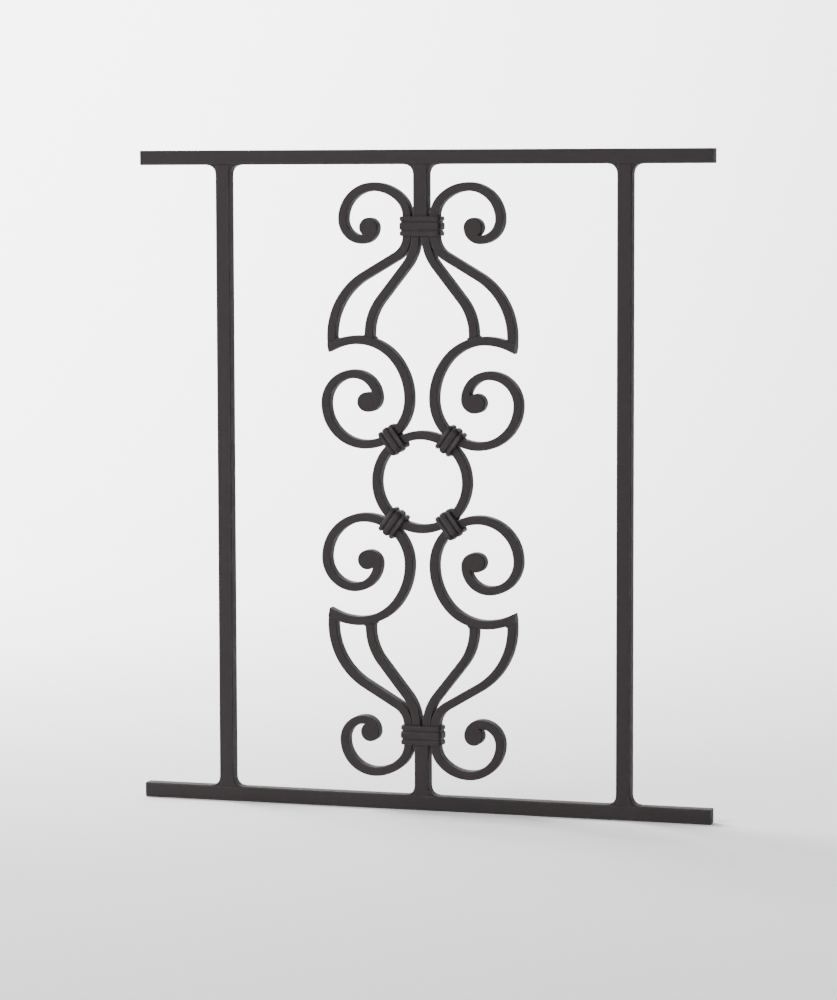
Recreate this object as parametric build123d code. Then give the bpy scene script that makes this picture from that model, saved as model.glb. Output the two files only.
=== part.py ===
"""Fixed wrought-iron window grille, modelled as the smith builds it.

Two square rails cross the window reveal and two square bars stand between them. A flat-bar scroll panel
fills the middle bay: a ring, four C-scrolls, four S-scrolls and four inner stems, held together by
wrapped collars and hung from the rails on two short square stubs. Everything is welded or collared, so
nothing moves. Millimetres, X to the right, Z up, the face seen from the street is -Y.
"""
import os
from math import atan2, asin, cos, degrees, hypot, radians, sin, sqrt

from build123d import *

# ---- frame of square bar
opening_width = 600.0     # masonry opening the grille is made for
rail_bearing = 5.0        # how far each rail end is let into the side of the reveal
grille_height = 680.0     # outside of top rail to outside of bottom rail
bar_size = 15.0           # square bar
bar_pitch = 428.0         # centre to centre of the two upright bars
bar_edge = 1.0            # rolled edge radius of the square bar
joint_weld = 8.5          # leg of the ground concave fillet at each T joint
weld_land = 0.4           # thickness the fillets die out at

# ---- flat bar of the scroll panel
flat_thick = 9.0          # in the plane of the grille
flat_deep = 14.0          # front to back
flat_edge = 0.8           # rolled edge radius of the flat bar

# ---- ring and its collars
ring_diameter = 105.5
ring_collar_angle = 54.5  # above the horizontal, where ring and C-scroll touch
ring_collar_length = 18.0
ring_collar_wall = 3.5
ring_collar_rib = 2.0

# ---- C-scrolls, named from the ring collar outwards
c_throat = 47.5           # bend at the ring collar
c_waist = 0.4             # straight beside the grille's axis
c_shoulder = 64.0
c_crown = 52.0
c_shoulder_turn = 40.0
c_tail = 64.0             # bend from the crown to the tip
c_tip_reach = 27.5        # tip beyond the crown, along X
c_sweep = 42.0            # the inner coil, each bend tighter than the one before
c_return = 30.5
c_hook = 25.0
c_curl = 9.5
c_curl_turn = 115.0

# ---- S-scrolls and stems, named from the large collar outwards
stub_visible = 53.0       # stub between rail and large collar
stem_gap = 2.0            # slit between the two stems
s_neck = 26.0             # small coil, each bend from the collar
s_crown = 40.5
s_shoulder = 33.0
s_return = 21.0
s_hook = 12.5
s_curl = 5.5
s_curl_turn = 100.0
s_bend_top = 24.0         # ogee down to the C-scroll's tip
s_bend_tip = 72.0
s_tip_heading = -99.7
stem_bend_top = 49.0      # ogee down to the C-scroll's crown
stem_bend_foot = 57.0
stem_foot_heading = -98.0
stem_landing = 13.0       # landing point inside the crown of the C-scroll, along X
eye_radius = 10.0          # forged solid eye at the end of every coil
scroll_bead = 1.6         # weld bead where stem and S-scroll land on the C-scroll

# ---- large collars
collar_length = 20.0
collar_wall = 1.5
collar_rib = 1.5
collar_seam = 0.8         # slit at the back where the wrapped strip closes

# ---- derived places
half_height = grille_height / 2
rail_length = opening_width + 2 * rail_bearing
rail_inner = half_height - bar_size
clear_height = 2 * rail_inner
ring_radius = ring_diameter / 2
half_t = flat_thick / 2
collar_z = rail_inner - stub_visible - collar_length / 2
stem_x = stem_gap / 2 + half_t
s_x = max(stem_gap / 2 + flat_thick, bar_size / 2) + half_t
bundle_width = 2 * (s_x + half_t)


def arc_chain(x, z, heading, bends):
    """Follow tangent bends from a start point.

    Each bend is (radius, turn in degrees), left turns positive; a radius of 0 is a straight run whose
    length stands in place of the turn. Returns the runs as tuples and the end point and heading.
    """
    runs, h = [], radians(heading)
    for radius, turn in bends:
        if radius == 0:
            if turn > 1e-6:
                runs.append(("line", x, z, h, turn))
            x, z = x + turn * cos(h), z + turn * sin(h)
            continue
        side = 1 if turn > 0 else -1
        cx, cz = x - side * radius * sin(h), z + side * radius * cos(h)
        runs.append(("arc", cx, cz, radius, side, h, radians(turn)))
        h += radians(turn)
        x, z = cx + side * radius * sin(h), cz - side * radius * cos(h)
    return runs, (x, z), degrees(h)


def offset_edge(run, offset):
    """One run of a chain, moved sideways by offset, left of travel positive."""
    if run[0] == "line":
        _, x, z, h, length = run
        x, z = x - offset * sin(h), z + offset * cos(h)
        return Line((x, z), (x + length * cos(h), z + length * sin(h)))
    _, cx, cz, radius, side, h, turn = run
    r = radius - side * offset

    def at(angle):
        return (cx + side * r * sin(angle), cz - side * r * cos(angle))

    return ThreePointArc(at(h), at(h + turn / 2), at(h + turn))


def band(runs, left, right):
    """Flat face between two sideways offsets of a chain."""
    a = [offset_edge(run, left) for run in runs]
    b = [offset_edge(run, right) for run in runs]
    caps = [Line(a[0] @ 0, b[0] @ 0), Line(a[-1] @ 1, b[-1] @ 1)]
    return make_face(Wire(a + b + caps))


def largest(shape):
    """The biggest face of a trimmed outline."""
    return shape.faces().sort_by(SortBy.AREA)[-1]


def ogee(start, start_heading, r0, end, end_heading, r1):
    """Left bend, straight, right bend between two placed ends; bends tighten until they fit."""
    for step in range(60):
        h0, h1 = radians(start_heading), radians(end_heading)
        ax, az = start[0] - r0 * sin(h0), start[1] + r0 * cos(h0)
        bx, bz = end[0] + r1 * sin(h1), end[1] - r1 * cos(h1)
        gap = hypot(bx - ax, bz - az)
        if gap > 1.02 * (r0 + r1):
            lean = degrees(atan2(bz - az, bx - ax) + asin((r0 + r1) / gap))
            turn = lean - start_heading
            back = lean - end_heading
            if 0 < turn < 120 and 0 < back < 150:
                straight = sqrt(gap * gap - (r0 + r1) ** 2)
                return [(r0, turn), (0, straight), (r1, -back)]
        r0, r1 = r0 * 0.95, r1 * 0.95
    raise ValueError("the ogee has no room between its ends")


def upright(face, depth):
    """Stand a flat outline up in the XZ plane and give it its front-to-back depth."""
    solid = extrude(face, amount=depth / 2, both=True)
    return Rot(90, 0, 0) * solid


def soften(solid, radius, across=Axis.Y):
    """Roll the edges that lie in the front and back faces."""
    faces = solid.faces().filter_by(across)
    edges = faces[0].edges() + faces[-1].edges()
    try:
        rolled = fillet(edges, radius)
        return rolled if rolled.is_valid else solid
    except Exception:
        return solid


def square_bar(length, along):
    """Square bar with rolled edges, centred, lying along one axis."""
    size = {Axis.X: (length, bar_size, bar_size), Axis.Z: (bar_size, bar_size, length)}[along]
    bar = Box(*size)
    return fillet(bar.edges().filter_by(along), bar_edge)


def joint_fillet():
    """Concave weld fillet in the corner of a T joint: rail along +X, bar along +Z."""
    leg, land = joint_weld, weld_land
    inner = (leg - land) * sqrt(0.5)
    outline = [
        Line((0, 0), (leg, 0)), Line((leg, 0), (leg, land)),
        ThreePointArc((leg, land), (leg - inner, leg - inner), (land, leg)),
        Line((land, leg), (0, leg)), Line((0, leg), (0, 0)),
    ]
    return upright(make_face(Wire(outline)), bar_size - 2 * bar_edge)


def ribbed_sleeve(length, width, depth, wall, rib):
    """Solid sleeve block lying along X: a narrow, a thick and a narrow rib on a thin band."""
    body = Box(length, depth + 2 * wall, width + 2 * wall)
    body = fillet(body.edges().filter_by(Axis.X), wall * 0.6)
    narrow, thick = length * 0.24, length * 0.36
    for x, run, proud in ((-(length - narrow) / 2, narrow, rib * 0.75), (0, thick, rib),
                          ((length - narrow) / 2, narrow, rib * 0.75)):
        hoop = Box(run, depth + 2 * (wall + proud), width + 2 * (wall + proud))
        hoop = fillet(hoop.edges().filter_by(Axis.X), wall)
        crest = hoop.faces().filter_by(Axis.X)
        hoop = fillet(crest[0].edges() + crest[-1].edges(), min(run * 0.42, (wall + proud) * 0.5))
        body += Pos(x, 0, 0) * hoop
    return body


# ---- C-scroll, upper right quadrant: ring side, then tip side
ca, sa = cos(radians(ring_collar_angle)), sin(radians(ring_collar_angle))
reach = ring_radius + flat_thick / 2 + c_throat
throat_x, throat_z = reach * ca, reach * sa
waist_start = (throat_x - c_throat, throat_z)
coil_bends = [(c_throat, 90), (c_sweep, 90), (c_return, 90), (c_hook, 90), (c_curl, c_curl_turn)]
coil_runs, coil_end, coil_heading = arc_chain(*waist_start, -90, coil_bends)
rise_bends = [(0, c_waist), (c_shoulder, -c_shoulder_turn), (c_crown, c_shoulder_turn - 90)]
rise_runs, crown, _ = arc_chain(*waist_start, 90, rise_bends)
tail_turn = degrees(asin(c_tip_reach / c_tail))
tail_runs, c_tip, _ = arc_chain(*crown, 0, [(c_tail, -tail_turn)])
over_runs, _, _ = arc_chain(*crown, 0, [(c_tail, -tail_turn - flat_thick * 60 / c_tail)])


def eye_at(end, heading, side):
    """Solid forged eye, flush with the outer edge of the coil's last bend."""
    h = radians(heading)
    shift = side * (eye_radius - half_t)
    return Pos(end[0] - shift * sin(h), end[1] + shift * cos(h)) * Circle(eye_radius)


c_coil = (band(coil_runs, half_t, -half_t) + eye_at(coil_end, coil_heading, 1)).clean()
c_over = band(rise_runs + over_runs, half_t, -half_t)

# ---- S-scroll and stem, upper right quadrant
neck = (s_x, collar_z + collar_length / 2)
small_bends = [(s_neck, -45), (s_crown, -45), (s_shoulder, -90), (s_return, -90), (s_hook, -90),
               (s_curl, -s_curl_turn)]
small_runs, small_end, small_heading = arc_chain(*neck, 90, small_bends)
small_coil = (band(small_runs, half_t, -half_t) + eye_at(small_end, small_heading, -1)).clean()
foot = (s_x, collar_z - collar_length / 2)
s_target = (c_tip[0] - half_t * 0.08, c_tip[1] - half_t * 0.5)
s_bends = [(0, collar_length)] + ogee(foot, -90, s_bend_top, s_target, s_tip_heading, s_bend_tip)
s_bends.append((0, flat_thick))
s_runs, _, _ = arc_chain(*neck, -90, s_bends)
s_over = band(s_runs, half_t, -half_t)
s_outside = band(s_runs[-3:], half_t + 4 * flat_thick, half_t)

c_face = (c_coil + largest(c_over - s_outside)).clean()
s_face = (small_coil + largest(s_over - c_over)).clean()

landing_x = crown[0] - stem_landing
landing = (landing_x, crown[1] - c_crown + sqrt(c_crown ** 2 - stem_landing ** 2))
stem_top = (stem_x, collar_z)
stem_foot = (stem_x, collar_z - collar_length / 2)
stem_bends = ogee(stem_foot, -90, stem_bend_top, landing, stem_foot_heading, stem_bend_foot)
stem_bends.insert(0, (0, collar_length / 2))
stem_runs, _, _ = arc_chain(*stem_top, -90, stem_bends)
stem_face = largest(band(stem_runs, half_t, -half_t) - c_over)


def bead(corner, keep_off):
    """Round weld bead in the corner where two bars meet, cut back to their faces."""
    spot = Pos(*corner) * Circle(scroll_bead)
    for outline in keep_off:
        spot = spot - outline
    return largest(spot)


stem_corners = [(v.X, v.Y) for v in stem_face.vertices().sort_by(Axis.Y)[:2]]
s_low = sorted(((v.X, v.Y) for v in largest(s_over - c_over).vertices()), key=lambda p: p[1])[:2]
tip_corner = min(s_low)
bead_faces = [bead(c, (c_over, stem_face)) for c in stem_corners] + [bead(tip_corner, (c_over, s_face))]

# ---- solids of the upper right quadrant
c_scroll = soften(upright(c_face, flat_deep), flat_edge)
s_scroll = soften(upright(s_face, flat_deep), flat_edge)
stem = soften(upright(stem_face, flat_deep), flat_edge)
beads = [upright(f, flat_deep - 2 * flat_edge) for f in bead_faces]

ring = upright(Circle(ring_radius) - Circle(ring_radius - flat_thick), flat_deep)
ring = soften(ring, flat_edge)

# Ring collar: made lying along X over the contact point, hole closed onto both bars
grip = Box(ring_collar_length * 2, flat_deep, flat_thick * 4)
cylinder_ring = Rot(90, 0, 0) * Cylinder(ring_radius - flat_thick, flat_deep * 2)
cylinder_throat = Rot(90, 0, 0) * Cylinder(c_throat - half_t, flat_deep * 2)
grip -= Pos(0, 0, -ring_radius) * cylinder_ring
grip -= Pos(0, 0, flat_thick / 2 + c_throat) * cylinder_throat
ring_collar = ribbed_sleeve(ring_collar_length, 2 * flat_thick, flat_deep, ring_collar_wall, ring_collar_rib)
ring_collar -= grip
ring_collar -= Pos(0, flat_deep / 2 + ring_collar_wall, 0) * Box(
    ring_collar_length * 2, 2 * (ring_collar_wall + ring_collar_rib), collar_seam)
ring_collar = Pos(ring_radius * ca, 0, ring_radius * sa) * (Rot(0, 90 - ring_collar_angle, 0) * ring_collar)

# Large collar: wraps the stub's end, both S-scrolls and both stems
hole_deep = max(bar_size, flat_deep)
large_collar = ribbed_sleeve(collar_length, bundle_width, hole_deep, collar_wall, collar_rib)
large_collar -= Box(collar_length * 2, hole_deep, bundle_width)
large_collar -= Pos(0, hole_deep / 2 + collar_wall, 0) * Box(
    collar_length * 2, 2 * (collar_wall + collar_rib), collar_seam)
large_collar = Rot(0, 90, 0) * large_collar

stub_length = rail_inner - collar_z
stub = Pos(0, 0, collar_z + stub_length / 2) * square_bar(stub_length, Axis.Z)
rail = square_bar(rail_length, Axis.X)
upright_bar = square_bar(clear_height, Axis.Z)

right_fillet = joint_fillet()
left_fillet = mirror(right_fillet, about=Plane.YZ)


def joint_pair(x, flip):
    """The two fillets at one end of a bar: on the bottom rail, or flipped under the top rail."""
    pair = [Pos(x + bar_size / 2, 0, -rail_inner) * right_fillet,
            Pos(x - bar_size / 2, 0, -rail_inner) * left_fillet]
    return [mirror(s, about=Plane.XY) for s in pair] if flip else pair


def quadrant(solid, upper, right):
    """Copy of an upper right solid in another quadrant."""
    if not right:
        solid = mirror(solid, about=Plane.YZ)
    if not upper:
        solid = mirror(solid, about=Plane.XY)
    return solid


# ---- nodes
nodes = {
    "top_rail": [Pos(0, 0, half_height - bar_size / 2) * rail],
    "bottom_rail": [Pos(0, 0, bar_size / 2 - half_height) * rail],
    "left_bar": [Pos(-bar_pitch / 2, 0, 0) * upright_bar],
    "right_bar": [Pos(bar_pitch / 2, 0, 0) * upright_bar],
    "upper_stub": [stub],
    "lower_stub": [mirror(stub, about=Plane.XY)],
    "centre_ring": [ring],
    "upper_collar": [Pos(0, 0, collar_z) * large_collar],
    "lower_collar": [Pos(0, 0, -collar_z) * large_collar],
}
for row, is_top in (("upper", True), ("lower", False)):
    for place, x in (("left_bar", -bar_pitch / 2), ("stub", 0), ("right_bar", bar_pitch / 2)):
        nodes[f"{place}_weld_{row}"] = joint_pair(x, is_top)
    for side, is_right in (("left", False), ("right", True)):
        tag = f"{row}_{side}"
        nodes[f"c_scroll_{tag}"] = [quadrant(c_scroll, is_top, is_right)]
        nodes[f"s_scroll_{tag}"] = [quadrant(s_scroll, is_top, is_right)]
        nodes[f"stem_{tag}"] = [quadrant(stem, is_top, is_right)]
        nodes[f"ring_collar_{tag}"] = [quadrant(ring_collar, is_top, is_right)]
        nodes[f"scroll_beads_{tag}"] = [quadrant(b, is_top, is_right) for b in beads]

os.makedirs("parts", exist_ok=True)
for name, solids in nodes.items():
    bodies = [s for shape in solids for s in shape.solids()]
    shape = bodies[0] if len(bodies) == 1 else Compound(children=bodies)
    export_step(shape, f"parts/{name}.step")
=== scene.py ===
"""Wrought-iron window grille in dark paint: the shown pieces, their finishes and the studio round them."""
import logging
import math
from dataclasses import dataclass, field
from enum import Enum
from itertools import product
from typing import Callable, Iterable, Sequence

import bmesh
import bpy
from bmesh.types import BMEdge, BMesh, BMFace, BMVert
from mathutils import Matrix, Vector


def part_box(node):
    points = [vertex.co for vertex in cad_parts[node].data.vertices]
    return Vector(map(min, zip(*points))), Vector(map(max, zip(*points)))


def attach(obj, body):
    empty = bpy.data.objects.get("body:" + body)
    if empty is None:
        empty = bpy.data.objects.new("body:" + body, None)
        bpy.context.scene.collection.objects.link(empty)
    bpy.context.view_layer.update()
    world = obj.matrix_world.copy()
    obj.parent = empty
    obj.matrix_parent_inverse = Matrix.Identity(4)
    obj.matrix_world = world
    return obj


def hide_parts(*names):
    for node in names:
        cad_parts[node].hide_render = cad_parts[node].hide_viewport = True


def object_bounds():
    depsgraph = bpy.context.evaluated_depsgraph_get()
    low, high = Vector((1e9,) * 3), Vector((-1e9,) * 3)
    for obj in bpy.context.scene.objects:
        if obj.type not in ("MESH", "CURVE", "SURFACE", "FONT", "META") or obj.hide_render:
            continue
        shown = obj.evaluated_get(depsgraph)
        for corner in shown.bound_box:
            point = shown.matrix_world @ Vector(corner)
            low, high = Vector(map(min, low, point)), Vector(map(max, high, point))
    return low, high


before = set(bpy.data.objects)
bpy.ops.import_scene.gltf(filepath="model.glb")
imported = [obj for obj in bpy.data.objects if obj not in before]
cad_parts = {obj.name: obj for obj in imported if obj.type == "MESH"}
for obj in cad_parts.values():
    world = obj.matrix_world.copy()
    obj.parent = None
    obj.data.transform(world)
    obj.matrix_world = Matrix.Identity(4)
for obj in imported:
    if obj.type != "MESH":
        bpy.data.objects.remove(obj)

MM = 0.001
BODY = "root"
LOG = logging.getLogger("grille")
CAD_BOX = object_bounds()


Socket = bpy.types.NodeSocket
Tree = bpy.types.NodeTree


class Labelled(Enum):
    """An enum whose member names are used in piece names."""

    @property
    def label(self) -> str:
        """The word used in piece names."""
        return self.name.lower()


class Row(Labelled):
    """Which half of the grille a piece belongs to."""

    UPPER = 1
    LOWER = -1


class Side(Labelled):
    """Which side of the grille's axis a piece stands on, seen from the street."""

    RIGHT = 1
    LEFT = -1


QUADRANTS = tuple(product(Row, Side))


class Relief(Enum):
    """How the iron under the paint was worked."""

    ROLLED = "rolled"
    FORGED = "forged"
    WELDED = "welded"


# ---------- finishes

ANTHRACITE = (0.0220, 0.0188, 0.0194)
DUST_COLOUR = (0.115, 0.106, 0.096)
COAT_UNEVENNESS = 0.16
# Edges are lightened by this gain and lift: painted highlight, with some rubbed paint.
HIGHLIGHT_AND_WEAR_GAIN, HIGHLIGHT_AND_WEAR_LIFT = 2.3, 0.010
DUST_DULLING = 0.30
RUB_POLISH = -0.12
PAINT_SPECULAR = 0.06


@dataclass(frozen=True)
class Finish:
    """One painted finish.

    Attributes:
        name: material name.
        slot: the record's material slot; not used.
        colour: linear colour of the paint.
        roughness: mean roughness of the paint film.
        relief: how the iron below was worked.
        relief_depth: height of the relief in metres.
        relief_size: typical size of a mark in metres.
        wear: how strongly the edges are lightened, painted highlight with some rubbed paint, 0 to 1.
        dust: how much dust lies on faces that look up, 0 to 1.
    """

    name: str
    slot: str
    colour: tuple[float, float, float]
    roughness: float
    relief: Relief
    relief_depth: float
    relief_size: float
    wear: float
    dust: float


class Finishes(Enum):
    """The finishes of this grille."""

    SQUARE_BAR = Finish("anthracite_on_square_bar", "bar_paint", ANTHRACITE, 0.60,
                        Relief.ROLLED, 0.00016, 0.0042, 0.28, 0.14)
    FLAT_BAR = Finish("anthracite_on_flat_bar", "scroll_paint", ANTHRACITE, 0.57,
                      Relief.FORGED, 0.00030, 0.0068, 0.34, 0.12)
    COLLAR = Finish("anthracite_on_collar", "collar_paint", ANTHRACITE, 0.55,
                    Relief.FORGED, 0.00014, 0.0044, 0.42, 0.14)
    WELD = Finish("anthracite_on_weld", "weld_paint", ANTHRACITE, 0.60,
                  Relief.WELDED, 0.00028, 0.0022, 0.22, 0.14)


class NodeMaker:
    """Adds nodes to a shader tree."""

    def __init__(self, tree: Tree) -> None:
        """Work on a tree."""
        self.tree = tree

    def node(self, kind: str, **settings: object) -> bpy.types.Node:
        """Add a node and set its plain properties."""
        made = self.tree.nodes.new(f"ShaderNode{kind}")
        for key, value in settings.items():
            setattr(made, key, value)
        return made

    def join(self, source: Socket, target: Socket) -> None:
        """Link two sockets."""
        self.tree.links.new(source, target)

    def maths(self, operation: str, a: object, b: object = None, c: object = None,
              clamp: bool = False) -> Socket:
        """Add a Math node on sockets or numbers, and return its result."""
        made = self.node("Math", operation=operation, use_clamp=clamp)
        for socket, value in zip(made.inputs, (a, b, c)):
            if isinstance(value, Socket):
                self.join(value, socket)
            elif value is not None:
                socket.default_value = value
        return made.outputs[0]

    def noise(self, vector: Socket, scale: object, detail: float, roughness: float = 0.5) -> Socket:
        """Add a noise texture of this many cells per metre and octaves, and return its value, 0 to 1."""
        made = self.node("TexNoise")
        self.join(vector, made.inputs["Vector"])
        if isinstance(scale, Socket):
            self.join(scale, made.inputs["Scale"])
        else:
            made.inputs["Scale"].default_value = scale
        made.inputs["Detail"].default_value = detail
        made.inputs["Roughness"].default_value = roughness
        return made.outputs["Fac"]

    def ramp(self, value: Socket, low: float, high: float) -> Socket:
        """Smooth step of a value from low to high."""
        made = self.node("MapRange", interpolation_type="SMOOTHSTEP")
        self.join(value, made.inputs["Value"])
        made.inputs["From Min"].default_value = low
        made.inputs["From Max"].default_value = high
        return made.outputs["Result"]

    def group(self, shared: Tree, vector: Socket, **values: float) -> bpy.types.Node:
        """Place a shared group that reads these coordinates, and set its own numbers."""
        made = self.node("Group", node_tree=shared)
        self.join(vector, made.inputs["Vector"])
        for key, value in values.items():
            made.inputs[key].default_value = value
        return made

    def mix(self, mask: Socket, below: Socket, above: tuple[float, float, float]) -> Socket:
        """Lay a colour over another where the mask is 1, and return the mixed colour."""
        made = self.node("Mix", data_type="RGBA")
        self.join(mask, made.inputs["Factor"])
        self.join(below, made.inputs["A"])
        made.inputs["B"].default_value = (*above, 1.0)
        return made.outputs["Result"]


class NodeGroupMaker(NodeMaker):
    """Builds a shader node group socket by socket."""

    def __init__(self, name: str) -> None:
        """Start an empty group.

        Args:
            name: the group's name.
        """
        super().__init__(bpy.data.node_groups.new(name, "ShaderNodeTree"))
        self.entry = self.tree.nodes.new("NodeGroupInput")
        self.exit = self.tree.nodes.new("NodeGroupOutput")

    def takes(self, name: str, kind: str, default: float | None = None) -> None:
        """Add an input socket with an optional default."""
        socket = self.tree.interface.new_socket(name, in_out="INPUT", socket_type=f"NodeSocket{kind}")
        if default is not None:
            socket.default_value = default

    def gives(self, name: str, kind: str) -> None:
        """Add an output socket."""
        self.tree.interface.new_socket(name, in_out="OUTPUT", socket_type=f"NodeSocket{kind}")


class PaintShop:
    """Makes the shared effects once and a material for each finish."""

    def __init__(self) -> None:
        """Build the shared node groups."""
        self.mottle = self._mottle()
        self.wear = self._edge_wear()
        self.dust = self._settled_dust()
        self.reliefs = {Relief.ROLLED: self._rolled(), Relief.FORGED: self._forged(),
                        Relief.WELDED: self._welded()}
        self.made: dict[Finishes, bpy.types.Material] = {}

    @staticmethod
    def _mottle() -> Tree:
        """Uneven coat, a broad cloud and a fine grain: Shade is near 1, Gloss near 0."""
        g = NodeGroupMaker("brushed_coat")
        g.takes("Vector", "Vector")
        g.takes("Amount", "Float", 0.1)
        g.gives("Shade", "Float")
        g.gives("Gloss", "Float")
        vector, amount = g.entry.outputs["Vector"], g.entry.outputs["Amount"]
        cloud = g.noise(vector, 34.0, 3.0, 0.55)
        grain = g.noise(vector, 620.0, 3.0, 0.6)
        stretch = g.node("Mapping")
        stretch.inputs["Scale"].default_value = (160.0, 900.0, 160.0)
        g.join(vector, stretch.inputs["Vector"])
        brush = g.noise(stretch.outputs["Vector"], 1.0, 2.0)
        mixed = g.maths("ADD", g.maths("MULTIPLY", cloud, 0.6), g.maths("MULTIPLY", grain, 0.4))
        swing = g.maths("MULTIPLY", g.maths("SUBTRACT", mixed, 0.5), 2.0)
        g.join(g.maths("MULTIPLY_ADD", swing, amount, 1.0), g.exit.inputs["Shade"])
        film = g.maths("ADD", g.maths("MULTIPLY", brush, 0.5), g.maths("MULTIPLY", cloud, 0.5))
        g.join(g.maths("MULTIPLY", g.maths("SUBTRACT", film, 0.5), 0.22), g.exit.inputs["Gloss"])
        return g.tree

    @staticmethod
    def _edge_wear() -> Tree:
        """Lighter edges, painted highlight with some rubbed paint: the piece's own edge mark broken up by
        noise; Mask is 1 where the edge is lightened.
        """
        g = NodeGroupMaker("rubbed_edges")
        g.takes("Vector", "Vector")
        g.takes("Edge", "Float", 0.0)
        g.takes("Amount", "Float", 0.5)
        g.gives("Mask", "Float")
        vector = g.entry.outputs["Vector"]
        patches = g.ramp(g.noise(vector, 85.0, 4.0, 0.65), 0.38, 0.66)
        nicks = g.ramp(g.noise(vector, 760.0, 2.0), 0.36, 0.60)
        line = g.ramp(g.entry.outputs["Edge"], 0.55, 1.0)
        broken = g.maths("MULTIPLY", g.maths("MULTIPLY_ADD", patches, 0.75, 0.25), g.maths(
            "MULTIPLY_ADD", nicks, 0.6, 0.4))
        mask = g.maths("MULTIPLY", g.maths("MULTIPLY", line, broken), g.entry.outputs["Amount"], clamp=True)
        g.join(mask, g.exit.inputs["Mask"])
        return g.tree

    @staticmethod
    def _settled_dust() -> Tree:
        """Fine dust on faces that look up: Mask is 1 where it lies."""
        g = NodeGroupMaker("settled_dust")
        g.takes("Vector", "Vector")
        g.takes("Amount", "Float", 0.3)
        g.gives("Mask", "Float")
        geometry = g.node("NewGeometry")
        split = g.node("SeparateXYZ")
        g.join(geometry.outputs["Normal"], split.inputs["Vector"])
        up = g.ramp(split.outputs["Z"], 0.35, 0.95)
        film = g.ramp(g.noise(g.entry.outputs["Vector"], 140.0, 4.0, 0.6), 0.30, 0.75)
        specks = g.ramp(g.noise(g.entry.outputs["Vector"], 1500.0, 2.0), 0.50, 0.72)
        cover = g.maths("ADD", g.maths("MULTIPLY", film, 0.7), g.maths("MULTIPLY", specks, 0.3))
        mask = g.maths("MULTIPLY", g.maths("MULTIPLY", up, cover), g.entry.outputs["Amount"], clamp=True)
        g.join(mask, g.exit.inputs["Mask"])
        return g.tree

    @staticmethod
    def _relief_group(name: str, shape: Callable[[NodeGroupMaker, Socket, Socket], Socket]) -> Tree:
        """A group whose Height, 0 to 1, comes from coordinates and cells per metre."""
        g = NodeGroupMaker(name)
        g.takes("Vector", "Vector")
        g.takes("Density", "Float", 200.0)
        g.gives("Height", "Float")
        g.join(shape(g, g.entry.outputs["Vector"], g.entry.outputs["Density"]), g.exit.inputs["Height"])
        return g.tree

    @classmethod
    def _rolled(cls) -> Tree:
        """Faint orange peel over mill-rolled bar."""

        def shape(g: NodeGroupMaker, vector: Socket, density: Socket) -> Socket:
            """Broad waviness with a fine peel on it."""
            wave = g.noise(vector, g.maths("MULTIPLY", density, 0.35), 2.0, 0.4)
            peel = g.noise(vector, g.maths("MULTIPLY", density, 3.5), 2.0, 0.55)
            return g.maths("ADD", g.maths("MULTIPLY", wave, 0.62), g.maths("MULTIPLY", peel, 0.38))

        return cls._relief_group("rolled_skin", shape)

    @classmethod
    def _forged(cls) -> Tree:
        """Shallow overlapping hammer dents under the paint."""

        def shape(g: NodeGroupMaker, vector: Socket, density: Socket) -> Socket:
            """Round-bottomed cells, pulled about by noise, with a fine peel on them."""
            cells = g.node("TexVoronoi", feature="SMOOTH_F1")
            g.join(vector, cells.inputs["Vector"])
            g.join(density, cells.inputs["Scale"])
            cells.inputs["Smoothness"].default_value = 0.75
            cells.inputs["Randomness"].default_value = 1.0
            dents = g.maths("MULTIPLY", cells.outputs["Distance"], cells.outputs["Distance"])
            peel = g.noise(vector, g.maths("MULTIPLY", density, 5.0), 2.0, 0.55)
            return g.maths("ADD", g.maths("MULTIPLY", dents, 0.85), g.maths("MULTIPLY", peel, 0.22))

        return cls._relief_group("hammer_dents", shape)

    @classmethod
    def _welded(cls) -> Tree:
        """Soft ripples of weld metal dressed with a file."""

        def shape(g: NodeGroupMaker, vector: Socket, density: Socket) -> Socket:
            """Bands bent by noise."""
            bands = g.node("TexWave", wave_type="BANDS", bands_direction="DIAGONAL")
            g.join(vector, bands.inputs["Vector"])
            g.join(g.maths("MULTIPLY", density, 0.45), bands.inputs["Scale"])
            bands.inputs["Distortion"].default_value = 3.5
            bands.inputs["Detail"].default_value = 2.0
            grain = g.noise(vector, g.maths("MULTIPLY", density, 1.6), 2.0)
            return g.maths("ADD", g.maths("MULTIPLY", bands.outputs["Fac"], 0.35),
                           g.maths("MULTIPLY", grain, 0.65))

        return cls._relief_group("dressed_weld", shape)

    def material(self, choice: Finishes) -> bpy.types.Material:
        """The material of a finish, made on first use."""
        if choice not in self.made:
            self.made[choice] = self._paint(choice.value)
        return self.made[choice]

    def _paint(self, finish: Finish) -> bpy.types.Material:
        """Build the paint of one finish.

        Args:
            finish: what the paint is like.

        Returns:
            The finished material.
        """
        material = bpy.data.materials.new(finish.name)
        material.use_nodes = True
        maker = NodeMaker(material.node_tree)
        shader = maker.tree.nodes["Principled BSDF"]
        coordinates = maker.node("TexCoord").outputs["Object"]
        edge = maker.node("Attribute", attribute_name="edge_mark")
        coat = maker.group(self.mottle, coordinates, Amount=COAT_UNEVENNESS)
        wear = maker.group(self.wear, coordinates, Amount=finish.wear)
        maker.join(edge.outputs["Fac"], wear.inputs["Edge"])
        dust = maker.group(self.dust, coordinates, Amount=finish.dust)
        relief = maker.group(self.reliefs[finish.relief], coordinates, Density=1.0 / finish.relief_size)

        paint = maker.node("VectorMath", operation="SCALE")
        paint.inputs[0].default_value = finish.colour
        maker.join(coat.outputs["Shade"], paint.inputs["Scale"])
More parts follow.
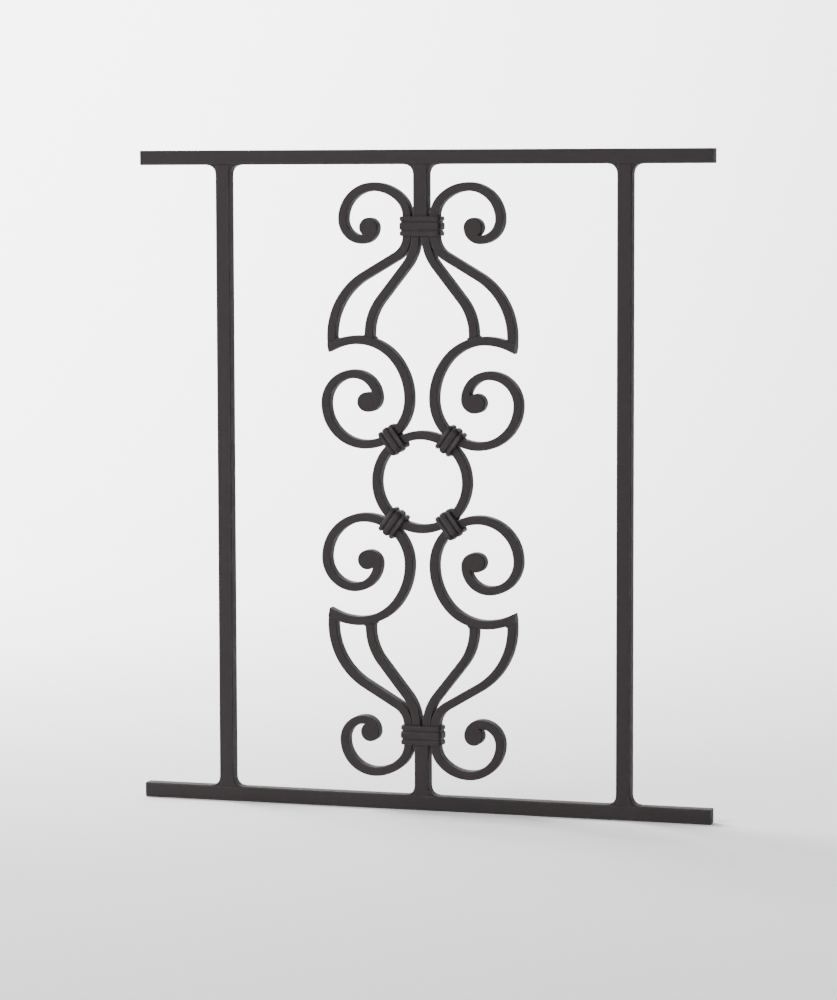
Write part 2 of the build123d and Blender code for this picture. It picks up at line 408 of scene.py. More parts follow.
        # Lighter colour on the edges: painted highlight, with some rubbed paint.
        highlighted_and_worn = maker.mix(wear.outputs["Mask"], paint.outputs["Vector"],
                           tuple(c * HIGHLIGHT_AND_WEAR_GAIN + HIGHLIGHT_AND_WEAR_LIFT for c in finish.colour))
        dusted = maker.mix(dust.outputs["Mask"], highlighted_and_worn, DUST_COLOUR)
        maker.join(dusted, shader.inputs["Base Color"])

        rough = maker.maths("ADD", coat.outputs["Gloss"], finish.roughness)
        duller = maker.maths("MULTIPLY_ADD", dust.outputs["Mask"], DUST_DULLING, rough)
        polished = maker.maths("MULTIPLY_ADD", wear.outputs["Mask"], RUB_POLISH, duller, clamp=True)
        maker.join(polished, shader.inputs["Roughness"])

        bump = maker.node("Bump")
        bump.inputs["Strength"].default_value = 1.0
        bump.inputs["Distance"].default_value = finish.relief_depth
        maker.join(relief.outputs["Height"], bump.inputs["Height"])
        maker.join(bump.outputs["Normal"], shader.inputs["Normal"])
        shader.inputs["Specular IOR Level"].default_value = PAINT_SPECULAR
        return material


# ---------- smithing

ROLLED_EDGE_STEPS = 4
FACE_CUTS = 5
LONGEST_STRAIGHT_FACE = 12.0


def verts_of(geom: Iterable[object]) -> list[BMVert]:
    """The vertices among mixed geometry."""
    return [g for g in geom if isinstance(g, BMVert)]


def spin(bm: BMesh, geom: list, centre: Sequence[float], axis: Sequence[float], angle: float,
         steps: int, closed: bool = False) -> list:
    """Spin geometry round an axis.

    Args:
        bm: the mesh.
        geom: what is spun.
        centre, axis: a point on the axis and its direction.
        angle: radians.
        steps: copies along the way.
        closed: join the last copy to the first.

    Returns:
        The last copy.
    """
    return bmesh.ops.spin(bm, geom=geom, cent=centre, axis=axis, dvec=(0, 0, 0), angle=angle,
                          space=Matrix.Identity(4), steps=steps, use_merge=closed,
                          use_normal_flip=False, use_duplicate=False)["geom_last"]


def bevel(bm: BMesh, geom: list, offset: float, segments: int, affect: str = "EDGES") -> list[BMVert]:
    """Round edges or corners, and return the vertices that this makes."""
    return bmesh.ops.bevel(bm, geom=geom, offset=offset, offset_type="OFFSET", segments=segments,
                           profile=0.5, affect=affect, material=-1)["verts"]


def smooth_mesh(name: str, bm: BMesh) -> bpy.types.Mesh:
    """Turn a bmesh into a smooth-shaded mesh and free it."""
    bmesh.ops.recalc_face_normals(bm, faces=bm.faces)
    mesh = bpy.data.meshes.new(name)
    for face in bm.faces:
        face.smooth = True
    bm.to_mesh(mesh)
    bm.free()
    return mesh


def stand(name: str, data: bpy.types.ID) -> bpy.types.Object:
    """Put a new object with this data into the scene."""
    obj = bpy.data.objects.new(name, data)
    bpy.context.scene.collection.objects.link(obj)
    return obj


@dataclass(frozen=True)
class Bend:
    """One run of a path: a bend, or a straight when its radius is 0.

    Attributes:
        radius: centreline radius in mm, 0 for a straight.
        turn: degrees, left turns positive, or the straight's length in mm.
    """

    radius: float
    turn: float


@dataclass(frozen=True)
class Post:
    """A point of a path with the direction of travel.

    Attributes:
        x: mm to the right.
        z: mm up.
        heading: degrees from +X, left turns positive.
    """

    x: float
    z: float
    heading: float

    def after(self, bend: Bend) -> "Post":
        """The post at the end of a run that starts here."""
        h = math.radians(self.heading)
        if bend.radius == 0:
            return Post(self.x + bend.turn * math.cos(h), self.z + bend.turn * math.sin(h), self.heading)
        centre, side = self.centre(bend)
        h += math.radians(bend.turn)
        return Post(centre.x + side * bend.radius * math.sin(h), centre.z - side * bend.radius * math.cos(h),
                    self.heading + bend.turn)

    def centre(self, bend: Bend) -> tuple[Vector, int]:
        """Centre of a bend that starts here, and 1 for a left turn or -1 for a right one."""
        side = 1 if bend.turn > 0 else -1
        h = math.radians(self.heading)
        return Vector((self.x - side * bend.radius * math.sin(h), 0.0,
                       self.z + side * bend.radius * math.cos(h))), side

    def left(self) -> Vector:
        """Unit vector to the left of travel."""
        h = math.radians(self.heading)
        return Vector((-math.sin(h), 0.0, math.cos(h)))

    def ahead(self) -> Vector:
        """Unit vector along travel."""
        h = math.radians(self.heading)
        return Vector((math.cos(h), 0.0, math.sin(h)))

    def spot(self) -> Vector:
        """The place as a vector."""
        return Vector((self.x, 0.0, self.z))


def end_of(start: Post, bends: Sequence[Bend]) -> Post:
    """The post at the end of a chain of runs."""
    for bend in bends:
        start = start.after(bend)
    return start


def ogee(start: Post, first: float, end: Post, last: float) -> list[Bend]:
    """Left bend of the first radius, straight and right bend of the last, joining two posts."""
    a = start.spot() + start.left() * first
    b = end.spot() - end.left() * last
    gap = (b - a).length
    lean = math.degrees(math.atan2(b.z - a.z, b.x - a.x) + math.asin((first + last) / gap))
    straight = math.sqrt(gap ** 2 - (first + last) ** 2)
    return [Bend(first, lean - start.heading), Bend(0, straight), Bend(last, end.heading - lean)]


@dataclass(frozen=True)
class Section:
    """Cross-section of a rolled bar, in mm.

    Attributes:
        across: thickness in the plane that the bar is bent in.
        deep: thickness out of that plane.
        edge: radius of the rolled edges.
        crown: how far the middle of each face swells.
    """

    across: float
    deep: float
    edge: float
    crown: float = 0.0

    def lay(self, bm: BMesh, post: Post, level: float = 0.0) -> list[BMEdge]:
        """Draw the section across a path at this place along Y, and return its closed loop of edges."""
        mark = edge_layer(bm)
        grid = bmesh.ops.create_grid(bm, x_segments=1, y_segments=1, size=0.5)["verts"]
        bmesh.ops.scale(bm, vec=(self.across, self.deep, 1), verts=grid)
        corners = bevel(bm, grid, self.edge, ROLLED_EDGE_STEPS, "VERTICES")
        loop = sorted({e for v in corners for e in v.link_edges}, key=lambda e: e.index)
        for vert in corners:
            vert[mark] = 1.0
        flats = [e for e in loop if e.calc_length() > self.edge * 1.05]
        cut = bmesh.ops.subdivide_edges(bm, edges=flats, cuts=FACE_CUTS)["geom_inner"]
        for vert in verts_of(cut):
            vert[mark] = 0.0
            self._swell(vert)
        faces = self._flat_faces(bm)
        inner = list({e for f in faces for e in f.edges if len(e.link_faces) == 2})
        if inner:
            bmesh.ops.dissolve_edges(bm, edges=inner, use_verts=False, use_face_split=False)
            faces = self._flat_faces(bm)
        verts = list({v for f in faces for v in f.verts})
        edges = list({e for f in faces for e in f.edges})
        bmesh.ops.delete(bm, geom=faces, context="FACES_ONLY")
        place = Matrix((
            (post.left().x, 0, post.ahead().x, post.x),
            (0, 1, 0, level),
            (post.left().z, 0, post.ahead().z, post.z),
            (0, 0, 0, 1)))
        bmesh.ops.transform(bm, matrix=place, verts=verts)
        return edges

    @staticmethod
    def _flat_faces(bm: BMesh) -> list[BMFace]:
        """The faces of the section while it still lies in the drawing plane."""
        return [f for f in bm.faces if all(abs(v.co.z) < 1e-9 for v in f.verts)]

    def _swell(self, vert: BMVert) -> None:
        """Push one vertex of a flat face out by the crown at its place."""
        if abs(abs(vert.co.x) - self.across / 2) < 1e-6:
            share = 1 - (2 * vert.co.y / self.deep) ** 2
            vert.co.x += math.copysign(self.crown * share, vert.co.x)
        else:
            share = 1 - (2 * vert.co.x / self.across) ** 2
            vert.co.y += math.copysign(self.crown * share, vert.co.y)


def edge_layer(bm: BMesh) -> object:
    """The layer that marks rolled edges, for their painted highlight and rubbed paint."""
    return bm.verts.layers.float.get("edge_mark") or bm.verts.layers.float.new("edge_mark")


class Smith:
    """Carries a section along a path and caps, trims and places the result."""

    def __init__(self, step: float = 1.6) -> None:
        """Start with an empty mesh.

        Args:
            step: longest run of one ring of faces round a bend, in mm.
        """
        self.bm = bmesh.new()
        self.step = step
        edge_layer(self.bm)

    def draw(self, section: Section, start: Post, bends: Sequence[Bend], level: float = 0.0) -> Post:
        """Sweep a section along a chain of runs and cap both ends; return the far end.

        Args:
            section: the bar.
            start: where it starts.
            bends: the runs.
            level: the path's place along Y.
        """
        edges = section.lay(self.bm, start, level)
        for bend in bends:
            if bend.radius == 0:
                edges = self._run(edges, start, bend.turn)
            else:
                edges = self._turn(edges, start, bend)
            start = start.after(bend)
        self.close()
        return start

    def _run(self, edges: list[BMEdge], start: Post, length: float) -> list[BMEdge]:
        """Extrude the loop straight ahead, in steps short enough for an even surface."""
        steps = max(1, round(length / LONGEST_STRAIGHT_FACE))
        for _ in range(steps):
            made = bmesh.ops.extrude_edge_only(self.bm, edges=edges)["geom"]
            verts = verts_of(made)
            bmesh.ops.translate(self.bm, vec=start.ahead() * (length / steps), verts=verts)
            edges = self._far_edges(made, verts)
        return edges

    @staticmethod
    def _far_edges(made: list, verts: list[BMVert]) -> list[BMEdge]:
        """The edges of an extrusion that lie wholly in its new loop."""
        new = set(verts)
        return [g for g in made if isinstance(g, BMEdge) and all(v in new for v in g.verts)]

    def _turn(self, edges: list[BMEdge], start: Post, bend: Bend) -> list[BMEdge]:
        """Spin the loop round the centre of a bend."""
        centre, _ = start.centre(bend)
        angle = math.radians(bend.turn)
        steps = max(2, math.ceil(abs(angle) * bend.radius / self.step))
        geom = edges + list({v for e in edges for v in e.verts})
        last = spin(self.bm, geom, centre, (0, -1, 0), angle, steps)
        return [g for g in last if isinstance(g, BMEdge)]

    def close(self) -> None:
        """Cap every open end."""
        bmesh.ops.holes_fill(self.bm, edges=[e for e in self.bm.edges if e.is_boundary], sides=0)

    def trim(self, where: Vector, outward: Vector, reach: Callable[[Vector], bool]) -> None:
        """Cut off what lies outward of a plane, among the faces whose centres reach accepts, and cap it."""
        faces = [f for f in self.bm.faces if reach(f.calc_center_median())]
        geom: list = list({v for f in faces for v in f.verts})
        geom += list({e for f in faces for e in f.edges}) + faces
        bmesh.ops.bisect_plane(self.bm, geom=geom, dist=1e-5, plane_co=where, plane_no=outward,
                               clear_outer=True)
        bmesh.ops.delete(self.bm, geom=[v for v in self.bm.verts if not v.link_faces], context="VERTS")
        self.close()

    def forged_eye(self, post: Post, side: int, radius: float, half: float, deep: float) -> None:
        """Add the solid eye where a coil ends, flush with its outer edge; side is 1 if it turns left."""
        centre = post.spot() + post.left() * side * (radius - half)
        shoulder, arris, swell = 1.1, 0.36, 0.22
        rim, crest = deep / 2 - shoulder, deep / 2 + swell
        stations = ((0.0, crest), (radius * 0.42, crest - 0.01), (radius * 0.72, crest - 0.04),
                    (radius - shoulder, crest - 0.09), (radius - arris, crest - 0.45), (radius, rim))
        profile = [Vector((x, -y, 0)) for x, y in stations]
        profile += [Vector((x, y, 0)) for x, y in reversed(stations)]
        verts = [self.bm.verts.new(centre + p) for p in profile]
        mark = edge_layer(self.bm)
        for vert, (x, _) in zip(verts, stations + stations[::-1]):
            vert[mark] = 0.75 if x == radius - arris else 0.0
        edges = [self.bm.edges.new(pair) for pair in zip(verts, verts[1:])]
        spin(self.bm, verts + edges, centre, (0, 1, 0), math.tau, 56, closed=True)
        poles = [v for v in self.bm.verts if (Vector((v.co.x, 0, v.co.z)) - centre).length < 1e-5]
        bmesh.ops.remove_doubles(self.bm, verts=poles, dist=1e-4)

    def mirrored(self, row: Row, side: Side) -> BMesh:
        """A copy of the upper right piece in another quadrant, in mm."""
        copy = self.bm.copy()
        flip = Matrix.Diagonal((side.value, 1, row.value, 1))
        bmesh.ops.transform(copy, matrix=flip, verts=copy.verts)
        return copy

    def turned(self, matrix: Matrix) -> None:
        """Turn or move the whole piece."""
        bmesh.ops.transform(self.bm, matrix=matrix, verts=self.bm.verts)


@dataclass
class Bench:
    """Turns finished meshes into pieces of the grille."""

    paints: PaintShop
    count: int = 0

    def piece(self, name: str, bm: BMesh, finish: Finishes, nodes: Sequence[str],
              crease: float = 42.0) -> bpy.types.Object:
        """Make a piece from a mesh in mm.

        Args:
            name: the piece's name.
            bm: its mesh, which is used up.
            finish: its finish.
            nodes: the CAD nodes that it stands for.
            crease: edges sharper than this many degrees stay sharp.

        Returns:
            The piece, riding on the grille.
        """
        bmesh.ops.scale(bm, vec=(MM, MM, MM), verts=bm.verts)
        mesh = smooth_mesh(name, bm)
        mesh.set_sharp_from_angle(angle=math.radians(crease))
        mesh.materials.append(self.paints.material(finish))
        obj = stand(name, mesh)
        weighted = obj.modifiers.new("even_faces", "WEIGHTED_NORMAL")
        weighted.keep_sharp = True
        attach(obj, BODY)
        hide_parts(*nodes)
        self.count += 1
        LOG.info("%s: %d faces, %s", name, len(mesh.polygons), finish.value.name)
        return obj

    def dress_node(self, node: str, finish: Finishes) -> None:
        """Give a carried-over CAD node its paint."""
        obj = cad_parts[node]
        obj.data.materials.clear()
        obj.data.materials.append(self.paints.material(finish))
        self.count += 1
        LOG.info("%s: kept, %s", node, finish.value.name)


# ---------- sub-assemblies


def box_mm(node: str) -> tuple[Vector, Vector]:
    """Lowest and highest corner of a CAD node in mm."""
    low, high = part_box(node)
    return low / MM, high / MM


@dataclass
class SquareFrame:
    """Rails, uprights and stubs of square bar with the welds at their T joints.

    Attributes:
        edge, crown: radius of the rolled edges and swell of the faces, in mm.
        sawn_bevel: bevel round a sawn rail end.
        weld_leg, weld_land: a fillet's reach, and its thickness at the toe.
        weld_deep: its depth, front to back.
        weld_sink: how far it reaches into the bars.
        weld_bevel: rounding of its front and back rims.
    """

    edge: float = 1.15
    crown: float = 0.05
    sawn_bevel: float = 0.35
    weld_leg: float = 8.5
    weld_land: float = 0.4
    weld_deep: float = 13.8
    weld_sink: float = 0.6
    weld_bevel: float = 0.9

    def build(self, bench: Bench) -> None:
        """Make every bar and weld of the frame."""
        for row in Row:
            rail = "top_rail" if row is Row.UPPER else "bottom_rail"
            self._bar(bench, rail, along_x=True)
            self._bar(bench, f"{row.label}_stub", along_x=False)
            for place in ("left_bar", "stub", "right_bar"):
                self._welds(bench, place, row)
        for bar in ("left_bar", "right_bar"):
            self._bar(bench, bar, along_x=False)

    def _bar(self, bench: Bench, node: str, along_x: bool) -> None:
        """Replace one square bar by a rolled one with sawn ends, lying along X or standing."""
        low, high = box_mm(node)
        middle = (low + high) / 2
        smith = Smith()
        if along_x:
            section = Section(high.z - low.z, high.y - low.y, self.edge, self.crown)
            start, length = Post(low.x, middle.z, 0.0), high.x - low.x
        else:
            section = Section(high.x - low.x, high.y - low.y, self.edge, self.crown)
            start, length = Post(middle.x, low.z, 90.0), high.z - low.z
        smith.draw(section, start, [Bend(0, length)])
        if along_x:
            bevel(smith.bm, self._cap_rims(smith.bm), self.sawn_bevel, 2)
        bench.piece(f"{node}_rolled", smith.bm, Finishes.SQUARE_BAR, [node])

    @staticmethod
    def _cap_rims(bm: BMesh) -> list[BMEdge]:
        """The edges between a side quad and a many-sided end cap."""
        rims = []
        for edge in bm.edges:
            corners = [len(f.verts) for f in edge.link_faces]
            if len(corners) == 2 and min(corners) <= 4 < max(corners):
                rims.append(edge)
        return rims

    def _welds(self, bench: Bench, place: str, row: Row) -> None:
        """Both concave fillets at one end of the bar with this name, at the top or bottom rail."""
        node = f"{place}_weld_{row.label}"
        low, high = box_mm(node)
        rail_face = high.z if row is Row.UPPER else low.z
        middle_x = (low.x + high.x) / 2
        half_bar = (high.x - low.x) / 2 - self.weld_leg
        bm = bmesh.new()
        edge_layer(bm)
        for side in Side:
            made = self._fillet(bm)
            place_it = (Matrix.Translation((middle_x + side.value * half_bar, 0, rail_face))
                        @ Matrix.Diagonal((side.value, 1, -row.value, 1)))
            bmesh.ops.transform(bm, matrix=place_it, verts=made)
        bench.piece(f"{node}_dressed", bm, Finishes.WELD, [node], crease=35.0)

    def _fillet(self, bm: BMesh) -> list[BMVert]:
        """One concave fillet in the corner between +X and +Z; returns its vertices."""
        sink, deep, middle = self.weld_sink, self.weld_deep, self.weld_leg + self.weld_sink
        before = set(bm.verts)
        seed = bm.verts.new((middle, -deep / 2, self.weld_land))
        spin(bm, [seed], (middle, 0, middle), (0, 1, 0), math.pi / 2, 14)
        arc = sorted((v for v in bm.verts if v not in before), key=lambda v: -v.co.x + v.co.z)
        corner = [bm.verts.new(Vector(c)) for c in (
            (-sink, -deep / 2, arc[-1].co.z), (-sink, -deep / 2, -sink), (arc[0].co.x, -deep / 2, -sink))]
        slab = bmesh.ops.extrude_face_region(bm, geom=[bm.faces.new(arc + corner)])["geom"]
        bmesh.ops.translate(bm, vec=(0, deep, 0), verts=verts_of(slab))
        new = [v for v in bm.verts if v not in before]
        near = middle + 0.1
        rims = [e for e in {e for v in new for e in v.link_edges}
                if abs(e.verts[0].co.y - e.verts[1].co.y) < 1e-6
                and all((v.co - Vector((middle, v.co.y, middle))).length < near for v in e.verts)]
        rounded = bevel(bm, rims, self.weld_bevel, 3)
        mark = edge_layer(bm)
        for vert in rounded:
            vert[mark] = 0.6
        return [v for v in bm.verts if v not in before]


@dataclass
class ScrollPanel:
    """Ring, C-scrolls, S-scrolls and stems of flat bar, designed in the upper right quadrant.

    Attributes:
        tip_shift: the S-scroll's end from the C-scroll's tip, inward and down, in half thicknesses.
        spare_c, spare_s, spare_stem: length drawn past a joint and trimmed off, in mm.
        in_collar: length of stem inside the large collar.
        c_zone, s_zone: how far up or down, and across, from the tip an end is still trimmed.
        stem_zone: how far above its landing a stem is still trimmed.
    """

    bar: Section = field(default_factory=lambda: Section(9.0, 14.0, 1.0, 0.12))
    eye_radius: float = 10.0
    collar_angle: float = 54.5
    throat: float = 47.5
    coil: tuple[Bend, ...] = (Bend(47.5, 90), Bend(42, 90), Bend(30.5, 90), Bend(25, 90), Bend(9.5, 115))
    rise: tuple[Bend, ...] = (Bend(0, 0.4), Bend(64, -40), Bend(52, -50))
    tail_radius: float = 64.0
    tip_reach: float = 27.5
    small_coil: tuple[Bend, ...] = (Bend(26, -45), Bend(40.5, -45), Bend(33, -90), Bend(21, -90),
                                    Bend(12.5, -90), Bend(5.5, -100))
    s_bends: tuple[float, float] = (24.0, 72.0)
    s_heading: float = -99.7
    stem_bends: tuple[float, float] = (49.0, 57.0)
    stem_heading: float = -98.0
    stem_landing: float = 13.0
    tip_shift: tuple[float, float] = (0.08, 0.5)
    spare_c: float = 9.0
    spare_s: float = 8.0
    spare_stem: float = 4.0
    in_collar: float = 10.0
    c_zone: tuple[float, float] = (14.0, 12.0)
    s_zone: tuple[float, float] = (14.0, 20.0)
    stem_zone: float = 18.0

    def __post_init__(self) -> None:
        """Take the ring's and collar's places from the frame."""
        low, high = box_mm("centre_ring")
        self.ring_radius = (high.x - low.x) / 2
        low, high = box_mm("upper_collar")
        self.collar_low, self.collar_high = low.z, high.z
        stem_low, _ = box_mm("stem_upper_right")
        self.stem_x = stem_low.x + self.bar.across / 2
        self.s_x = self.stem_x + self.bar.across
        reach = self.ring_radius + self.bar.across / 2 + self.throat
        angle = math.radians(self.collar_angle)
        self.waist = Post(reach * math.cos(angle) - self.throat, reach * math.sin(angle), -90.0)
        self.crown = end_of(Post(self.waist.x, self.waist.z, 90.0), self.rise)
        self.tail_turn = math.degrees(math.asin(self.tip_reach / self.tail_radius))
        self.tip = self.crown.after(Bend(self.tail_radius, -self.tail_turn))

    def build(self, bench: Bench) -> None:
        """Make the ring and the four quadrants."""
        self._ring(bench)
        makers = {"c_scroll": self._c_scroll, "s_scroll": self._s_scroll, "stem": self._stem}
        for name, maker in makers.items():
            smith = maker()
            for row, side in QUADRANTS:
                node = f"{name}_{row.label}_{side.label}"
                bench.piece(f"{node}_forged", smith.mirrored(row, side), Finishes.FLAT_BAR, [node])
            smith.bm.free()
        for row, side in QUADRANTS:
            bench.dress_node(f"scroll_beads_{row.label}_{side.label}", Finishes.WELD)

    def _ring(self, bench: Bench) -> None:
        """The ring, bent on a former and closed."""
        bm = bmesh.new()
        radius = self.ring_radius - self.bar.across / 2
        edges = self.bar.lay(bm, Post(radius, 0.0, 90.0))
        geom = edges + list({v for e in edges for v in e.verts})
        spin(bm, geom, (0, 0, 0), (0, -1, 0), math.tau, 180, closed=True)
        bench.piece("centre_ring_forged", bm, Finishes.FLAT_BAR, ["centre_ring"])

    def _s_end(self) -> tuple[Post, list[Bend]]:
        """Foot of the S-scroll at the collar, and its runs down to the C-scroll's tip."""
        half = self.bar.across / 2
        foot = Post(self.s_x, self.collar_low, -90.0)
        inward, down = self.tip_shift
        end = Post(self.tip.x - half * inward, self.tip.z - half * down, self.s_heading)
        return foot, ogee(foot, self.s_bends[0], end, self.s_bends[1]) + [Bend(0, self.spare_s)]

    def _c_scroll(self) -> Smith:
        """The C-scroll with its forged eye, its tip cut flush with the S-scroll's outer edge."""
        smith = Smith()
        start = Post(self.tip.x, self.tip.z, 180 - self.tail_turn).after(Bend(0, -self.spare_c))
        back = [Bend(0, self.spare_c), Bend(self.tail_radius, self.tail_turn)]
        back += [Bend(b.radius, -b.turn if b.radius else b.turn) for b in reversed(self.rise)]
        end = smith.draw(self.bar, start, back + list(self.coil))
        foot, runs = self._s_end()
        s_tip = end_of(foot, runs[:-1])
        outer = s_tip.spot() + s_tip.left() * (self.bar.across / 2)
        down, inward = self.c_zone
        smith.trim(outer, s_tip.left(), lambda c: c.z > self.tip.z - down and c.x > self.tip.x - inward)
        smith.forged_eye(end, 1, self.eye_radius, self.bar.across / 2, self.bar.deep)
        return smith

    def _s_scroll(self) -> Smith:
        """The S-scroll: small coil, straight through the collar, ogee to the C-scroll's tip."""
        smith = Smith()
        foot, runs = self._s_end()
        neck = Post(self.s_x, self.collar_high, -90.0)
        coil_end = end_of(Post(neck.x, neck.z, 90.0), self.small_coil)
        start = Post(coil_end.x, coil_end.z, coil_end.heading + 180)
        back = [Bend(b.radius, -b.turn) for b in reversed(self.small_coil)]
        through = Bend(0, self.collar_high - self.collar_low)
        smith.draw(self.bar, start, back + [through] + runs)
        face = self.tip.spot() + self.tip.left() * (self.bar.across / 2)
        up, inward = self.s_zone
        smith.trim(face, -self.tip.left(), lambda c: c.z < self.tip.z + up and c.x > self.tip.x - inward)
        smith.forged_eye(coil_end, -1, self.eye_radius, self.bar.across / 2, self.bar.deep)
        return smith

    def _stem(self) -> Smith:
        """The stem from the collar to the crown of the C-scroll."""
        smith = Smith()
        crown_radius = self.rise[-1].radius
        lift = math.sqrt(crown_radius ** 2 - self.stem_landing ** 2)
        landing = Post(self.crown.x - self.stem_landing, self.crown.z - crown_radius + lift,
                       self.stem_heading)
        foot = Post(self.stem_x, self.collar_low, -90.0)
        runs = ogee(foot, self.stem_bends[0], landing, self.stem_bends[1])
        top = Post(foot.x, foot.z + self.in_collar, -90.0)
        smith.draw(self.bar, top, [Bend(0, self.in_collar)] + runs + [Bend(0, self.spare_stem)])
        out = Vector((-self.stem_landing, 0, lift)).normalized()
        centre = Vector((self.crown.x, 0, self.crown.z - crown_radius))
        smith.trim(centre + out * (crown_radius + self.bar.across / 2), -out,
                   lambda c: c.z < landing.z + self.stem_zone)
        return smith


@dataclass
class Collars:
    """Ribbed collars wrapped hot round the bars, closed at the back.

    Attributes:
        seam: gap where the two ends meet, in mm.
        ribs: place and width as shares of the length, and height as a share of the rib.
        rib_edge, rib_crown: edge radius as a share of a rib's smaller side, and swell.
        band_short, band_edge: how much the band falls short of the collar, and its edge as a share.
        step, fold: longest face round a fold, and the fold's inner radius.
        large_rib, small_rib: height of the middle rib over the band.
        small_length, small_play: a ring collar's length, and its room beside and behind the bars.
        small_flush: how far it stays inside its CAD box.
        crease: edges sharper than this many degrees stay sharp.
    """

    seam: float = 0.8
    ribs: tuple[tuple[float, float, float], ...] = ((-0.38, 0.24, 0.75), (0.0, 0.36, 1.0),
                                                    (0.38, 0.24, 0.75))
    rib_edge: float = 0.34
    rib_crown: float = 0.12
    band_short: float = 0.6
    band_edge: float = 0.3
    step: float = 0.5
    fold: float = 0.9
    large_rib: float = 1.5
    small_rib: float = 2.0
    small_length: float = 18.0
    small_play: tuple[float, float] = (1.2, 0.2)
    small_flush: float = 0.4
    crease: float = 50.0

    def build(self, bench: Bench, panel: ScrollPanel) -> None:
        """Wrap the two large collars and the four ring collars round the panel's bars."""
        low, high = box_mm("upper_collar")
        size = high - low
        bundle = 2 * (panel.s_x + panel.bar.across / 2)
        proud = (size.x - bundle) / 2
        smith = self._wrap(size.z, bundle, size.y - 2 * proud, proud, self.large_rib)
        smith.turned(Matrix.Translation((0, 0, (low.z + high.z) / 2)) @ Matrix.Rotation(math.pi / 2, 4, "X"))
        for row in Row:
            node = f"{row.label}_collar"
            bench.piece(f"{node}_wrapped", smith.mirrored(row, Side.RIGHT), Finishes.COLLAR, [node],
                        self.crease)
        smith.bm.free()
        low, high = box_mm("ring_collar_upper_right")
        proud = (high.y - low.y - panel.bar.deep) / 2
        beside, behind = self.small_play
        smith = self._wrap(self.small_length, 2 * panel.bar.across + beside, panel.bar.deep + behind,
                           proud - self.small_flush, self.small_rib)
        angle = math.radians(panel.collar_angle)
        spot = Vector((math.cos(angle), 0, math.sin(angle))) * panel.ring_radius
        turn = Matrix.Rotation(math.pi / 2 - angle, 4, "Y") @ Matrix.Rotation(-math.pi / 2, 4, "Y")
        stand = Matrix.Rotation(math.pi / 2, 4, "X")
        smith.turned(Matrix.Translation(spot) @ turn @ stand)
        for row, side in QUADRANTS:
            node = f"ring_collar_{row.label}_{side.label}"
            bench.piece(f"{node}_wrapped", smith.mirrored(row, side), Finishes.COLLAR, [node], self.crease)
        smith.bm.free()

    def _wrap(self, length: float, width: float, deep: float, proud: float, rib: float) -> Smith:
        """Wrap a band and its three ribs round a bundle that runs along Y.

        Args:
            length: along the bars.
            width: of the bundle.
            deep: of the bundle, front to back.
            proud: thickness at the highest rib.
            rib: how far that rib stands above the band.

        Returns:
            The collar, its front towards +Z.
        """
        smith = Smith(step=self.step)
        band = proud - rib
        self._hoop(smith, Section(band, length - self.band_short, band * self.band_edge), width, deep, 0.0)
        for place, share, height in self.ribs:
            thick = band + rib * height
            run = length * share
            strip = Section(thick, run, min(thick, run) * self.rib_edge, self.rib_crown)
            self._hoop(smith, strip, width, deep, place * length)
        return smith

    def _hoop(self, smith: Smith, section: Section, width: float, deep: float, along: float) -> None:
        """Sweep one strip round the bundle, from back seam to back seam, at its place along the bars."""
        half = section.across / 2
        corner = half + self.fold
        side = width / 2 - self.fold
        back = deep / 2 - self.fold
        start = Post(self.seam / 2, -deep / 2 - half, 0.0)
        turn, end = Bend(corner, 90), Bend(0, side - self.seam / 2)
        flank = [turn, Bend(0, 2 * back), turn]
        smith.draw(section, start, [end, *flank, Bend(0, 2 * side), *flank, end], along)


# ---------- studio


@dataclass(frozen=True)
class Lamp:
    """One square soft light.

    Attributes:
        name: its name.
        place: where it hangs, in metres.
        target: what it looks at.
        size: edge length in metres.
        power: watts.
    """

    name: str
    place: tuple[float, float, float]
    target: tuple[float, float, float]
    size: float
    power: float

    def hang(self) -> None:
        """Put the light into the scene."""
        light = bpy.data.lights.new(self.name, "AREA")
        light.size = self.size
        light.energy = self.power
        obj = stand(self.name, light)
        obj.location = self.place
        look = Vector(self.target) - Vector(self.place)
        obj.rotation_euler = look.to_track_quat("-Z", "Y").to_euler()


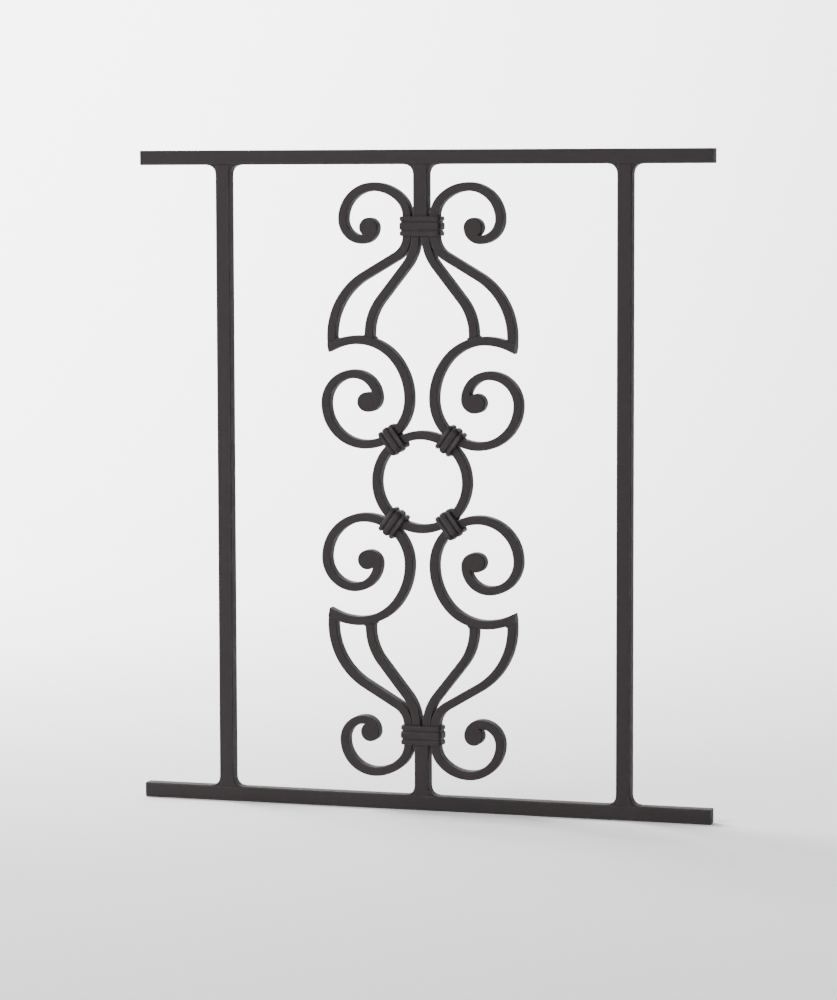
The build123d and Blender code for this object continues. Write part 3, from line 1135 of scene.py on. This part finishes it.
@dataclass
class Studio:
    """Pale seamless floor and wall, soft lights and the camera."""

    distance: float = 3.724
    azimuth: float = 17.07
    elevation: float = 5.09
    roll: float = -0.145
    aim: tuple[float, float] = (-0.0045, -0.0188)
    lens: float = 130.4
    paper: tuple[float, float, float] = (0.92, 0.92, 0.92)
    lamps: tuple[Lamp, ...] = (
        Lamp("key", (-2.4, -3.6, 1.7), (0, 0, 0), 2.8, 305.0),
        Lamp("front_fill", (-0.6, -4.4, 0.5), (0, 0, 0), 2.4, 95.0),
        Lamp("wall_wash", (-2.6, 1.2, 2.0), (-1.2, 3.8, 0.1), 2.4, 560.0))
    air: float = 0.16

    def build(self) -> None:
        """Set the whole studio round the grille."""
        self._seamless()
        self._lights()
        self._camera()

    def _seamless(self) -> None:
        """Floor that sweeps up into a wall behind the grille."""
        floor = CAD_BOX[0].z - 0.0005
        bm = bmesh.new()
        near, depth, bend, height, width = -40.0, 2.6, 1.2, 5.0, 60.0
        front = bm.verts.new((-width / 2, near, floor))
        turn = bm.verts.new((-width / 2, depth, floor))
        bm.edges.new((front, turn))
        spun = spin(bm, [turn], (0, depth, floor + bend), (1, 0, 0), math.pi / 2, 32)
        top = bm.verts.new((-width / 2, depth + bend, floor + height))
        bm.edges.new((verts_of(spun)[0], top))
        made = bmesh.ops.extrude_edge_only(bm, edges=list(bm.edges))["geom"]
        bmesh.ops.translate(bm, vec=(width, 0, 0), verts=verts_of(made))
        mesh = smooth_mesh("studio_paper", bm)
        material = bpy.data.materials.new("pale_paper")
        material.use_nodes = True
        shader = material.node_tree.nodes["Principled BSDF"]
        shader.inputs["Base Color"].default_value = (*self.paper, 1.0)
        shader.inputs["Roughness"].default_value = 0.9
        shader.inputs["Specular IOR Level"].default_value = 0.1
        mesh.materials.append(material)
        paper = stand("studio_paper", mesh)

    def _lights(self) -> None:
        """Large soft lights: a key from the front left, a weak fill and a wash for the wall."""
        for lamp in self.lamps:
            lamp.hang()
        world = bpy.data.worlds.new("studio_air")
        world.use_nodes = True
        air = world.node_tree.nodes["Background"]
        air.inputs["Color"].default_value = (1.0, 1.0, 1.0, 1.0)
        air.inputs["Strength"].default_value = self.air
        bpy.context.scene.world = world

    def _camera(self) -> None:
        """Place the camera by angle and distance from the point it looks at."""
        a, e = math.radians(self.azimuth), math.radians(self.elevation)
        back = Vector((math.sin(a) * math.cos(e), -math.cos(a) * math.cos(e), math.sin(e)))
        data = bpy.data.cameras.new("camera")
        data.lens = self.lens
        data.clip_start, data.clip_end = 0.1, 60.0
        camera = stand("camera", data)
        camera.rotation_mode = "QUATERNION"
        spin = Matrix.Rotation(math.radians(self.roll), 3, "Z").to_quaternion()
        camera.rotation_quaternion = (-back).to_track_quat("-Z", "Y") @ spin
        camera.location = Vector((self.aim[0], 0, self.aim[1])) + back * self.distance
        bpy.context.scene.camera = camera


def main() -> None:
    """Build the grille, then the studio, and report each piece."""
    logging.basicConfig(level=logging.INFO, format="%(name)s: %(message)s")
    bench = Bench(PaintShop())
    panel = ScrollPanel()
    SquareFrame().build(bench)
    panel.build(bench)
    Collars().build(bench, panel)
    Studio().build()
    LOG.info("%d pieces", bench.count)


if __name__ == "__main__":
    main()
